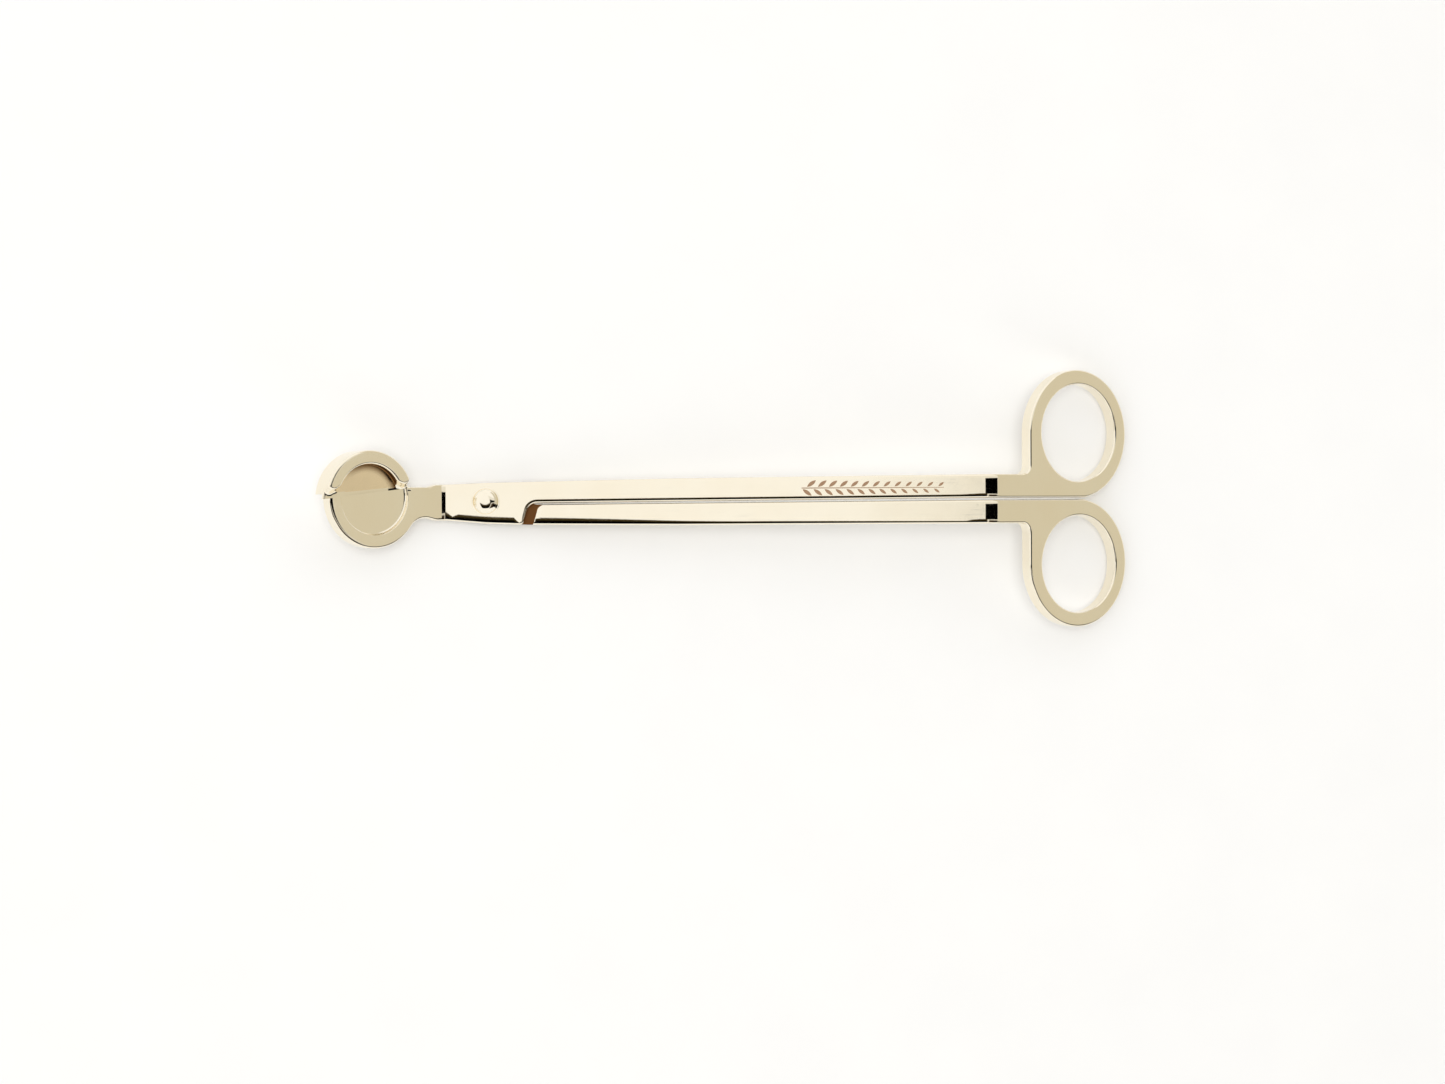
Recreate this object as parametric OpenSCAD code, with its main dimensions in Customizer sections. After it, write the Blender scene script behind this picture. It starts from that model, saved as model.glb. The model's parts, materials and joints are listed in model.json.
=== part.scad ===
// Wick trimmer: a riveted scissor tool with a round catching tray under its blade.
// The closed tool lies on a table as it does in use: it stands on its neck bend and
// on the ends of its finger rings. +X runs from the head to the finger rings.

/* [Plate] */
// Thickness of the plate that both arms are made of
plate_t = 3.2; // [3.0:0.1:3.6]
// Angle of the bend at the neck and of the bend before the finger rings
bend_angle = 35; // [30:1:40]
// Inside radius of the neck bend
neck_bend_r = 2.0; // [1.5:0.1:3]
// Inside radius of the ring bend
ring_bend_r = 3.0; // [1:0.1:4]

/* [Shafts] */
// Distance from the pivot to the ring bend
shaft_len = 114.3; // [95:0.1:130]
// Distance from the pivot to the neck bend
neck_len = 9.4; // [9:0.1:11]
// Distance from the centre line to a shaft's outer edge at the ring bend
shaft_half_w = 5.58; // [5:0.01:7]
// Gap between the closed shafts at the ring bend
shaft_gap = 0.47; // [0.3:0.01:1]

/* [Finger rings] */
// Outer radius of a finger ring
ring_r = 14.7; // [14:0.1:16]
// Radius of the finger hole
finger_r = 11.15; // [9:0.05:11.5]

/* [Head] */
// Outer radius of the tray
tray_r = 11.3; // [10.8:0.1:12]
// Radius of the hollow in the tray
tray_hollow_r = 8.35; // [7:0.05:9]
// Depth of the hollow in the tray
tray_hollow_depth = 1.0; // [0.5:0.05:1.1]
// Thickness of the tray's rim and of the jaw's base
head_t = 3.2; // [3.1:0.1:3.8]
// Outer radius of the jaw
jaw_r = 10.8; // [10.4:0.1:11.2]
// Inner radius of the wall on the jaw
jaw_hollow_r = 7.8; // [7:0.1:8.5]
// Height of the wall on the jaw above the tray's rim
jaw_wall_top = 2.7; // [2:0.1:4]
// Height of the blade's upper face above the tray's rim
blade_top = 0.7; // [0.5:0.05:1]
// Angle of the cutting edge to the tool's centre line
edge_angle = 6.5; // [5:0.5:8]

/* [Pivot] */
// Radius of the rivet's shank
shank_r = 1.9; // [1.5:0.05:2.2]
// Radius of the rivet's domed head
dome_r = 2.9; // [2.7:0.05:3.2]
// Height of the rivet's domed head
dome_h = 1.3; // [0.8:0.05:1.6]
// Radial clearance between the shank and the moving arm
pivot_clearance = 0.05; // [0.02:0.01:0.09]
// Outer radius of the washer under the moving arm
washer_r = 2.9; // [2.7:0.05:3.2]

/* [Hidden] */
$fn = 96;
arc_steps = 10;
far = 60;

half_t = plate_t / 2;
// Half of the play between the two halves of the lap joint
lap_play = 0.03;
lap_t = half_t - lap_play;
// Each bend turns this far into the flats on either side, just inside their faces,
// so that they are one solid
bend_reach = 3;
bend_skin = 0.01;

// Bends: each arc's centre, and how far its tangent points stand from the sharp corner
neck_bend_outer = neck_bend_r + plate_t;
neck_tangent = neck_bend_r * tan(bend_angle / 2);
neck_x = -neck_len + neck_tangent;
neck_z = half_t + neck_bend_r;
ring_bend_outer = ring_bend_r + plate_t;
ring_tangent = ring_bend_outer * tan(bend_angle / 2);
ring_x = shaft_len - ring_tangent;
ring_z = half_t - ring_bend_outer;

// The moving arm bends a little farther out, so its neck has room to swing under the tray arm's
neck_shift = 0.7;
neck_shift_along = neck_shift * cos(bend_angle);
neck_drop = neck_shift * sin(bend_angle);

// Shaft edges, as distances from the centre line
gap_half = shaft_gap / 2;
mid_shaft_x = 43;
tray_out_pivot = 4.2;
tray_out_mid = 5.0;
tray_in_pivot = -0.42;
cutter_out_pivot = -5.3;
cutter_out_mid = -5.6;
cutter_in_pivot = -0.78;

// Lap joint: where the upper half of one arm ends and the full shaft of the other begins
lap_heel_x = 8.3;
lap_throat_x = 9.7;
lap_throat_r = 2.5;
shoulder_foot_x = 9.75;
shoulder_x = 12.2;
shoulder_r = 2.2;
heel_r = 0.6;
lap_low_pivot = -5.0;
// The hidden half of the lap stays this far inside the edge of the half above it
lap_inset = 0.15;
// and this far inside its upper neck edge, where the arms pass each other
neck_inset = 0.3;

// Neck edges
neck_low = -4.25;
neck_high = 3.85;
neck_flat = 1.8;
waist_at = 4;
waist_low = -3.7;
waist_high = 3.3;
waist_fillet_r = 4;
fillet_bite = 0.02;

// Finger rings, along the ring's own plane from the sharp corner of the bend
ring_at = 25.5;
ring_y = 14.8;
finger_at = 25.7;
finger_y = 15.05;
ring_fillet_r = 2;
ring_end = ring_at + ring_r;

// Head, along the head's own plane from the sharp corner of the neck bend
tray_at = 17.5;
tray_y = 1.0;
jaw_at = 19.9;
jaw_y = 0.6;
edge_y = jaw_y + 1.27;
blade_overlap = 0.5;
jaw_base_step = 0.8;
blade_play = 0.06;
wall_end_step = 0.5;
wall_end_slope = 45;
bevel_w = 1.3;
bevel_edge_t = 0.15;
link_end = 14;
link_turn_at = 10;
link_widens_at = 8;
link_jaw_at = 10.18;
link_low = -3.3;
link_high = 3.0;
link_jaw_y = edge_y + 1.6;
link_top = -lap_t - 2 * lap_play - neck_drop;
pocket_end = link_end + 0.7;
pocket_low = link_low - 0.6;

// Rivet and washer
rim_r = dome_r + 0.25;
rim_h = 0.12;
fixed_play = 0.02;
washer_play = 0.04;
washer_t = 0.35;
tail_r = 2.3;
tail_h = 0.4;
washer_low = -half_t - washer_play - washer_t;

// Lying pose: the table touches the moving arm's neck bend and the ends of both rings
heel_centre_x = neck_x - neck_shift;
toe_x = shaft_len + ring_end * cos(bend_angle) - plate_t * sin(bend_angle);
toe_z = half_t - ring_end * sin(bend_angle) - plate_t * cos(bend_angle);
toe_dx = toe_x - heel_centre_x;
toe_dz = toe_z - neck_z;
lie_angle = -asin(neck_bend_outer / norm([toe_dx, toe_dz])) - atan2(toe_dz, toe_dx);
lift = -(toe_x * sin(lie_angle) + toe_z * cos(lie_angle));

// Ends of the tool along the table: the jaw's lower rim and the rings' upper rims
jaw_end = jaw_at + jaw_r;
tip_x = -neck_len - jaw_end * cos(bend_angle) - head_t * sin(bend_angle);
tip_z = half_t + jaw_end * sin(bend_angle) - head_t * cos(bend_angle);
back_x = shaft_len + ring_end * cos(bend_angle);
back_z = half_t - ring_end * sin(bend_angle);
low_x = tip_x * cos(lie_angle) - tip_z * sin(lie_angle);
high_x = back_x * cos(lie_angle) - back_z * sin(lie_angle);
mid_x = (low_x + high_x) / 2;

function unit(v) = v / norm(v);

// Points of an arc of radius r that rounds the corner b between its neighbours a and c
function corner(a, b, c, r) =
    let (u = unit(a - b),
         v = unit(c - b),
         half = acos(u * v) / 2,
         centre = b + unit(u + v) * (r / sin(half)),
         start = b + u * (r / tan(half)) - centre,
         turn = cross(u, v) > 0 ? 2 * half - 180 : 180 - 2 * half)
    [for (i = [0 : arc_steps])
        let (a_i = turn * i / arc_steps)
        centre + [start.x * cos(a_i) - start.y * sin(a_i),
                  start.x * sin(a_i) + start.y * cos(a_i)]];

// Outline through corners given as [x, y, radius], with radius 0 for a sharp one
function rounded(pts) =
    let (n = len(pts))
    [for (i = [0 : n - 1])
        let (p = pts[i],
             a = pts[(i + n - 1) % n],
             c = pts[(i + 1) % n])
        each p[2] == 0 ? [[p.x, p.y]]
            : corner([a.x, a.y], [p.x, p.y], [c.x, c.y], p[2])];

// Places a tool drawn around its pivot, with level shafts, on the table
module lay() {
    translate([-mid_x, 0, lift])
        rotate([0, -lie_angle, 0])
            children();
}

// Plane of the head: x runs back to the pivot, z is 0 on the tray's rim
module in_head() {
    translate([-neck_len, 0, half_t])
        rotate([0, bend_angle, 0])
            children();
}

// Plane of the finger rings: x runs away from the pivot, z is 0 on the upper face
module in_rings() {
    translate([shaft_len, 0, half_t])
        rotate([0, bend_angle, 0])
            children();
}

// Slab of the outline between two heights
module slab(low, high) {
    translate([0, 0, low])
        linear_extrude(high - low)
            children();
}

// Curved strip around an axis along Y, from radius r0 to r1 and from side y0 to y1
module bend(x, z, start, r0, r1, y0, y1) {
    translate([x, 0, z])
        rotate([90, 0, 0])
            rotate([0, 0, start - bend_reach])
                rotate_extrude(angle = bend_angle + 2 * bend_reach)
                    translate([r0 + bend_skin, -y1 + bend_skin])
                        square([r1 - r0 - 2 * bend_skin, y1 - y0 - 2 * bend_skin]);
}

// Half of the head's plane that lies beyond the cutting edge, moved out by a step
module beyond_edge(step) {
    translate([-jaw_at, edge_y + step])
        rotate(edge_angle)
            translate([-far / 2, 0])
                square([far, far]);
}

// Finger ring with its straight root, on the side of positive y
module ring_outline() {
    difference() {
        union() {
            intersection() {
                translate([ring_at, ring_y])
                    circle(ring_r);
                translate([0, gap_half])
                    square(far);
            }
            polygon(rounded([
                [ring_tangent, gap_half, 0],
                [ring_at, gap_half, 0],
                [ring_at, ring_y, 0],
                [ring_at - ring_r, ring_y, 0],
                [ring_at - ring_r, shaft_half_w, ring_fillet_r],
                [ring_tangent, shaft_half_w, 0]]));
        }
        translate([finger_at, finger_y])
            circle(finger_r);
    }
}

// Bend and finger ring, which both arms share
module ring_end_solid() {
    bend(ring_x, ring_z, 90 - bend_angle, ring_bend_r, ring_bend_outer, gap_half, shaft_half_w);
    in_rings()
        slab(-plate_t, 0)
            ring_outline();
}

// Upper half of the tray arm: it covers the pivot and runs on as the shaft
module tray_upper_outline() {
    polygon(rounded([
        [neck_x, neck_low, 0],
        [0, lap_low_pivot, 0],
        [lap_heel_x, cutter_out_pivot, heel_r],
        [lap_throat_x, tray_in_pivot, lap_throat_r],
        [ring_x, gap_half, 0],
        [ring_x, shaft_half_w, 0],
        [mid_shaft_x, tray_out_mid, 0],
        [0, tray_out_pivot, 0],
        [neck_x, neck_high, 0]]));
}

// Lower half of the tray arm: the shaft alone, from its shoulder on
module tray_lower_outline() {
    polygon(rounded([
        [shoulder_foot_x, tray_out_pivot + lap_inset, 0],
        [shoulder_x, tray_in_pivot, shoulder_r],
        [ring_x, gap_half, 0],
        [ring_x, shaft_half_w, 0],
        [mid_shaft_x, tray_out_mid, 0]]));
}

// Upper half of the cutter arm: the shaft alone, from its shoulder on
module cutter_upper_outline() {
    polygon(rounded([
        [shoulder_foot_x, cutter_out_pivot, 0],
        [mid_shaft_x, cutter_out_mid, 0],
        [ring_x, -shaft_half_w, 0],
        [ring_x, -gap_half, 0],
        [shoulder_x, cutter_in_pivot, shoulder_r]]));
}

// Lower half of the cutter arm: it runs under the pivot, hidden by the tray arm
module cutter_lower_outline() {
    polygon(rounded([
        [neck_x - neck_shift, neck_low + lap_inset, 0],
        [0, lap_low_pivot + lap_inset, 0],
        [shoulder_foot_x, cutter_out_pivot, 0],
        [mid_shaft_x, cutter_out_mid, 0],
        [ring_x, -shaft_half_w, 0],
        [ring_x, -gap_half, 0],
        [lap_throat_x, cutter_in_pivot, lap_throat_r],
        [lap_heel_x, tray_out_pivot, heel_r],
        [0, tray_out_pivot - lap_inset, 0],
        [neck_x - neck_shift, neck_high - neck_inset, 0]]));
}

module tray_disc() {
    translate([-tray_at, tray_y])
        circle(tray_r);
}

// Fillet between the lower edge of the neck and the tray. Its circle bites a little into both.
module waist_fillet() {
    reach = tray_r + waist_fillet_r - fillet_bite;
    drop = tray_y - waist_low + waist_fillet_r - fillet_bite;
    run = sqrt(reach * reach - drop * drop);
    difference() {
        polygon([
            [-tray_at + run, waist_low + fillet_bite],
            [-tray_at, tray_y],
            [-tray_at + run, tray_y - drop]]);
        translate([-tray_at + run, tray_y - drop])
            circle(waist_fillet_r);
    }
}

// Neck and tray seen along the head's plane, without the part that the jaw takes
module tray_head_outline() {
    difference() {
        union() {
            tray_disc();
            waist_fillet();
            polygon([
                [-neck_tangent, neck_low],
                [-neck_flat, neck_low],
                [-waist_at, waist_low],
                [-tray_at, waist_low],
                [-tray_at, waist_high],
                [-waist_at, waist_high],
                [-neck_flat, neck_high],
                [-neck_tangent, neck_high]]);
        }
        beyond_edge(blade_overlap);
    }
}

module tray_head() {
    difference() {
        union() {
            slab(-lap_t, 0)
                tray_head_outline();
            slab(-head_t, -lap_t / 2)
                difference() {
                    tray_disc();
                    beyond_edge(blade_overlap);
                    translate([-pocket_end, pocket_low])
                        square(far);
                }
        }
        translate([-tray_at, tray_y, -tray_hollow_depth])
            cylinder(h = far, r = tray_hollow_r);
    }
}

// Link under the tray's thin side, from the hidden neck to the jaw
module link_outline() {
    start = neck_tangent + neck_shift_along;
    polygon([
        [-start, neck_low + lap_inset],
        [-neck_flat, neck_low + lap_inset],
        [-waist_at, waist_low + neck_inset],
        [-link_turn_at, link_low],
        [-link_end, link_low],
        [-link_end, jaw_y + jaw_hollow_r],
        [-link_jaw_at, link_jaw_y],
        [-link_widens_at, link_high],
        [-waist_at, link_high],
        [-neck_flat, neck_high - neck_inset],
        [-start, neck_high - neck_inset]]);
}

module jaw_disc() {
    translate([-jaw_at, jaw_y])
        circle(jaw_r);
}

// Part of the jaw beyond the cutting edge, moved out by a step
module jaw_outline(step) {
    intersection() {
        jaw_disc();
        beyond_edge(step);
    }
}

// Slope that falls towards the cutting edge from a height above it
module edge_slope(step, low, angle) {
    translate([-jaw_at, edge_y, low])
        rotate([0, 0, edge_angle])
            translate([-far / 2, step, 0])
                rotate([angle, 0, 0])
                    translate([0, -far, 0])
                        cube(far);
}

// Wall of the jaw: a crescent whose ends slope down to the blade
module jaw_wall() {
    difference() {
        slab(blade_top - blade_play, jaw_wall_top)
            difference() {
                jaw_outline(wall_end_step);
                translate([-jaw_at, jaw_y])
                    circle(jaw_hollow_r);
            }
        edge_slope(wall_end_step, blade_top, wall_end_slope);
    }
}

// Blade: a flat plate with a bevel along its cutting edge
module blade() {
    difference() {
        slab(blade_play, blade_top)
            jaw_outline(0);
        edge_slope(0, blade_play + bevel_edge_t, atan2(blade_top - blade_play - bevel_edge_t, bevel_w));
    }
}

module cutter_head() {
    slab(-head_t, link_top)
        difference() {
            link_outline();
            translate([-jaw_at, edge_y + jaw_base_step])
                rotate(edge_angle)
                    translate([-far, 0])
                        square([far - link_end, far]);
        }
    slab(-head_t, blade_play)
        jaw_outline(jaw_base_step);
    blade();
    jaw_wall();
}

module tray_arm() {
    color([0.89, 0.82, 0.67])
        lay() {
            difference() {
                union() {
                    slab(lap_play, half_t)
                        tray_upper_outline();
                    slab(-half_t, lap_play)
                        tray_lower_outline();
                }
                cylinder(h = far, r = shank_r + fixed_play, center = true);
            }
            bend(neck_x, neck_z, -90 - bend_angle, neck_bend_r, neck_bend_r + lap_t, neck_low, neck_high);
            in_head()
                tray_head();
            ring_end_solid();
        }
}

module cutter_arm() {
    color([0.85, 0.78, 0.62])
        lay() {
            difference() {
                union() {
                    slab(-half_t, -lap_play)
                        cutter_lower_outline();
                    slab(-lap_play, half_t)
                        cutter_upper_outline();
                }
                cylinder(h = far, r = shank_r + pivot_clearance, center = true);
            }
            bend(neck_x - neck_shift, neck_z, -90 - bend_angle, neck_bend_outer - lap_t, neck_bend_outer,
                neck_low + lap_inset, neck_high - neck_inset);
            in_head()
                cutter_head();
            mirror([0, 1, 0])
                ring_end_solid();
        }
}

// Cap of a sphere with the given base radius and height, standing on z = 0
module dome(r, h) {
    sphere_r = (r * r + h * h) / (2 * h);
    rotate_extrude()
        intersection() {
            translate([0, h - sphere_r])
                circle(sphere_r);
            square([r, h]);
        }
}

module pivot_rivet() {
    color([0.90, 0.84, 0.70])
        lay() {
            translate([0, 0, washer_low])
                cylinder(h = half_t - washer_low + rim_h, r = shank_r);
            translate([0, 0, half_t])
                cylinder(h = rim_h, r = rim_r);
            translate([0, 0, half_t + rim_h])
                dome(dome_r, dome_h - rim_h);
            translate([0, 0, washer_low])
                mirror([0, 0, 1])
                    dome(tail_r, tail_h);
        }
}

module rivet_washer() {
    color([0.82, 0.74, 0.58])
        lay()
            translate([0, 0, washer_low])
                difference() {
                    cylinder(h = washer_t, r = washer_r);
                    cylinder(h = far, r = shank_r + fixed_play, center = true);
                }
}

tray_arm();
cutter_arm();
pivot_rivet();
rivet_washer();
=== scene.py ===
import json
import math

import bmesh
import bpy
from mathutils import Matrix, Vector


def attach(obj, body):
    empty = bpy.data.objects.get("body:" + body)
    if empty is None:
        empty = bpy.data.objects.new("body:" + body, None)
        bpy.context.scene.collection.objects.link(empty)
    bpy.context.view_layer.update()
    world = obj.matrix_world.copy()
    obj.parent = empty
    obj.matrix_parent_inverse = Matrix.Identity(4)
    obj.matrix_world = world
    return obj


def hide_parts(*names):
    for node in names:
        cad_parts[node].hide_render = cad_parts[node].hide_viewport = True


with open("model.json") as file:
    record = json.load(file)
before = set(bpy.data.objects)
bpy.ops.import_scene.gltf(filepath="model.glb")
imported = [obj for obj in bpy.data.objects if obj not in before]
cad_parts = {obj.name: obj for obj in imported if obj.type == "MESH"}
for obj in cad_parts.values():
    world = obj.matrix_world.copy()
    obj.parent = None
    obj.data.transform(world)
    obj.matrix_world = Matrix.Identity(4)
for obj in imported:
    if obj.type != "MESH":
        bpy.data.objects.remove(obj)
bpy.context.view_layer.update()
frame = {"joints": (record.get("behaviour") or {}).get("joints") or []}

# Lengths are in millimetres in the tool's own frame until a piece is finished: the origin is the
# pivot at mid thickness, x runs along the shafts to the finger rings and z stands off the shafts' faces.
MM = 0.001
BEND = math.radians(35)
PLATE_T = 3.2
HALF_T = PLATE_T / 2
LAP_PLAY = 0.03

# Bends: where each starts on the shaft, its inside radius and its length at mid thickness
NECK_LEN = 9.4
SHAFT_LEN = 114.3
NECK_BEND_R = 2.0
NECK_TANGENT = NECK_BEND_R * math.tan(BEND / 2)
NECK_X = -NECK_LEN + NECK_TANGENT
NECK_ARC = (NECK_BEND_R + HALF_T) * BEND
CUTTER_NECK_SHIFT = 0.7
RING_BEND_R = 3.0
RING_BEND_OUTER = RING_BEND_R + PLATE_T
RING_TANGENT = RING_BEND_OUTER * math.tan(BEND / 2)
RING_X = SHAFT_LEN - RING_TANGENT
RING_ARC = (RING_BEND_OUTER - HALF_T) * BEND
BEND_CUTS = 14

# Where the flat head and ring drawings start along the unrolled plate
HEAD_START = NECK_X - NECK_ARC + NECK_TANGENT
CUTTER_HEAD_START = HEAD_START - CUTTER_NECK_SHIFT * (1 - math.cos(BEND))
RING_START = RING_X + RING_ARC - RING_TANGENT

# Rounding of the plate's edges, and the wider polished fall-off inside it
EDGE_R = 0.42
EDGE_STEPS = 6
CROWN_SLOPE = math.radians(8)
CROWN_STEPS = 4
CROWN_W = 0.55
SOFT_CROWN_W = 1.5
BEND_CROWN_W = 0.8
NECK_CROWN_W = 1.9
# How far from the middle of each bend its wider fall-off starts and stops fading
RING_CROWN_SPAN = (2, 7)
NECK_CROWN_SPAN = (0.8, 3.2)
OUTLINE_STEP = 1.4
SHARP_ANGLE = math.radians(32)
# Turn of the rounding on cut edges, which stops short of a right angle
CUT_TURN = math.radians(80)

# Shafts and lap joint
SHAFT_EDGE = 5.58
GAP_HALF = 0.235
MID_SHAFT_X = 43
TRAY_LOW, TRAY_HIGH, TRAY_MID = -0.42, 4.2, 5.0
CUTTER_LOW, CUTTER_HIGH, CUTTER_MID = -5.3, -0.78, -5.6
LAP_LOW = -5.0
LAP_INSET = 0.15
LAP_START = 7.9
LAP_END = 16
SHOULDER_FOOT_X = 9.75
LAP_HEEL = (8.3, 1.0)
LAP_THROAT = (9.7, 2.5)
SHOULDER = (12.2, 2.2)
SHOULDER_BITE = 0.12

# Finger rings, in the ring plane
RING_AT, RING_Y, RING_R = 25.5, 14.8, 14.7
FINGER_AT, FINGER_Y, FINGER_R = 25.7, 15.05, 11.15
RING_FILLET_R = 2.0

# Head, in the head plane, where x is negative towards the tip
TRAY_AT, TRAY_Y, TRAY_R = -17.5, 1.0, 11.3
HOLLOW_R, HOLLOW_DEPTH = 8.35, 1.0
WAIST_LOW, WAIST_HIGH, WAIST_R = -3.7, 3.3, 4.0
NECK_LOW, NECK_HIGH = -4.25, 3.85
NECK_FLAT, WAIST_FROM, NECK_SOFT_R = 1.8, 4, 3
EDGE_ANGLE = math.radians(6.5)
JAW_AT, JAW_Y, JAW_R, JAW_HOLLOW_R = -19.9, 0.6, 10.8, 7.8
BLADE_LINE = 1.27
BLADE_OVERLAP = 0.5
BLADE_LOW, BLADE_EDGE_T, BLADE_TOP, WALL_TOP = 0.06, 0.53, 0.7, 2.7

# Hidden link from the cutter arm's neck to the jaw, as corners in the head plane with their radii
LINK_LOW_SIDE = [(-14, -3.3, 1), (-4, -3.4, 3), (-1.8, -4.1, 3)]
LINK_HIGH_SIDE = [(-1.8, 3.55, 3), (-4, 3.0, 3), (-8, 3.0), (-10.2, 4.6), (-14, 6.4, 1)]
LINK_THIN = 0.9

# Jaw: roundings, bevel of the blade, and how the wall's ends rise in plan and in height
JAW_EDGE_R, JAW_FOOT_R, JAW_LOW_R = 0.45, 0.3, 0.3
GRIND_W, GRIND_TAPER = 1.25, 0.04
WALL_START_LEFT, WALL_START_RIGHT, WALL_BOW, WALL_RUN = 0.75, 0.0, 0.9, 1.5
SECTION_SLANT = 0.45
BASE_STEP = 0.8
GRIND_SECTIONS = [0, 0.3, 0.6, BASE_STEP]
WALL_SECTIONS = 14
SECTION_STEP = 0.16
JAW_FAN = 64
# Radii of the floor's rings, which carry the jaw's painted dark reflection, and the turn in degrees over
# which that reflection fades
PAINTED_REFLECTION_RINGS = (7.3, 7.1, 6.9, 6.7, 6.5, 6.3, 6.1, 5.9, 5.7)
PAINTED_REFLECTION_FADE = (95, 140)

# Pivot
SHANK_R = 1.9
HOLE_PLAY = 0.05
DOME_R, DOME_H = 2.9, 1.18
RIM_R, RIM_H = 3.15, 0.12
WASHER_R, WASHER_T, WASHER_LOW = 2.9, 0.35, -HALF_T - 0.04 - 0.35
TAIL_R, TAIL_H = 2.3, 0.4

# Lying pose of the tool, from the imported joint
JOINT = frame["joints"][0]
UP = -Vector(JOINT["axis"]).normalized()
SIDE = Vector((0, 1, 0))
LAY = Matrix((SIDE.cross(UP), SIDE, UP)).transposed().to_4x4()
LAY.translation = Vector(JOINT["pos_m"])


# ---------------------------------------------------------------- outlines

def unit(v):
    return v / v.length


def corner(a, b, c, r, steps=10):
    """Points of an arc of radius r that rounds the corner b between its neighbours a and c."""
    a, b, c = Vector(a), Vector(b), Vector(c)
    u, v = unit(a - b), unit(c - b)
    half = math.acos(u.dot(v)) / 2
    centre = b + unit(u + v) * (r / math.sin(half))
    start = b + u * (r / math.tan(half)) - centre
    turn = math.pi - 2 * half
    if u.x * v.y - u.y * v.x > 0:
        turn = -turn
    return [tuple(centre + Matrix.Rotation(turn * i / steps, 2) @ start) for i in range(steps + 1)]


def rounded(corners):
    """Outline through corners given as (x, y) or, where the corner is rounded, (x, y, radius)."""
    points = []
    for i, p in enumerate(corners):
        if len(p) == 2:
            points.append(p)
            continue
        before, after = corners[i - 1], corners[(i + 1) % len(corners)]
        points += corner(before[:2], p[:2], after[:2], p[2])
    return points


def arc(centre, r, start, end, steps):
    """Points of an arc from one angle to another, in radians."""
    angles = [start + (end - start) * i / steps for i in range(steps + 1)]
    return [(centre[0] + r * math.cos(a), centre[1] + r * math.sin(a)) for a in angles]


def circle(centre, r, steps=96, turn=1):
    """Closed circle, clockwise where turn is -1."""
    return arc(centre, r, 0, turn * math.tau * (steps - 1) / steps, steps - 1)


def turns(steps, end=math.pi / 2):
    """Even angles from 0 to a right angle, or to another end."""
    return [end * k / steps for k in range(steps + 1)]


def angle_of(point, centre):
    return math.atan2(point[1] - centre[1], point[0] - centre[0])


def crossings(origin, direction, centre, r):
    """The two points where a line crosses a circle, in the line's own order."""
    origin, direction, centre = Vector(origin), unit(Vector(direction)), Vector(centre)
    along = (centre - origin).dot(direction)
    foot = origin + direction * along
    half = math.sqrt(r * r - (foot - centre).length_squared)
    return foot - direction * half, foot + direction * half


def subdivided(points, step=OUTLINE_STEP):
    """The same closed outline with no side longer than the step."""
    result = []
    for i, p in enumerate(points):
        a, b = Vector(p), Vector(points[(i + 1) % len(points)])
        parts = max(1, math.ceil((b - a).length / step))
        result += [tuple(a.lerp(b, k / parts)) for k in range(parts)]
    return result


def inward(points):
    """For each outline point, the offset that moves it one unit inside along both its sides."""
    n = len(points)
    normals = []
    for i in range(n):
        side = Vector(points[(i + 1) % n]) - Vector(points[i])
        normals.append(unit(Vector((-side.y, side.x))))
    offsets = []
    for i in range(n):
        a, b = normals[i - 1], normals[i]
        offsets.append((a + b) / (1 + a.dot(b)))
    return offsets


def fade(value, start, end):
    """Smooth step from 0 at start to 1 at end."""
    t = min(max((value - start) / (end - start), 0), 1)
    return t * t * (3 - 2 * t)


# ---------------------------------------------------------------- mesh helpers

def mesh_of(bm, name):
    """Mesh data of a closed bmesh with clean outward faces."""
    bmesh.ops.remove_doubles(bm, verts=bm.verts, dist=1e-4)
    bmesh.ops.dissolve_degenerate(bm, edges=bm.edges, dist=1e-4)
    bmesh.ops.recalc_face_normals(bm, faces=bm.faces)
    mesh = bpy.data.meshes.new(name)
    bm.to_mesh(mesh)
    bm.free()
    return mesh


def ring_faces(bm, lower, upper):
    """Band of faces between two closed rings of vertices."""
    for i in range(len(lower)):
        bm.faces.new((lower[i - 1], lower[i], upper[i], upper[i - 1]))


def fill_cap(bm, rings):
    """Flat triangulated face between an outer ring and the rings of its holes."""
    edges = [bm.edges.get((ring[i - 1], ring[i])) for ring in rings for i in range(len(ring))]
    bmesh.ops.triangle_fill(bm, edges=edges, use_beauty=True)


def edge_profile(width):
    """(inset, drop) pairs from the plate's side to its flat face, with a crown of this width."""
    slope = CROWN_SLOPE * min(1, width / CROWN_W)
    fall = width * math.tan(slope) / 2
    quarter = math.pi / 2
    pairs = []
    for k in range(EDGE_STEPS + 1):
        lean = quarter + (slope - quarter) * k / EDGE_STEPS
        pairs.append((EDGE_R * (1 - math.sin(lean)), fall + EDGE_R * (math.cos(slope) - math.cos(lean))))
    start = pairs[-1][0]
    for k in range(1, CROWN_STEPS + 1):
        t = k / CROWN_STEPS
        pairs.append((start + width * t, fall * (1 - t) ** 2))
    return pairs


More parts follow.
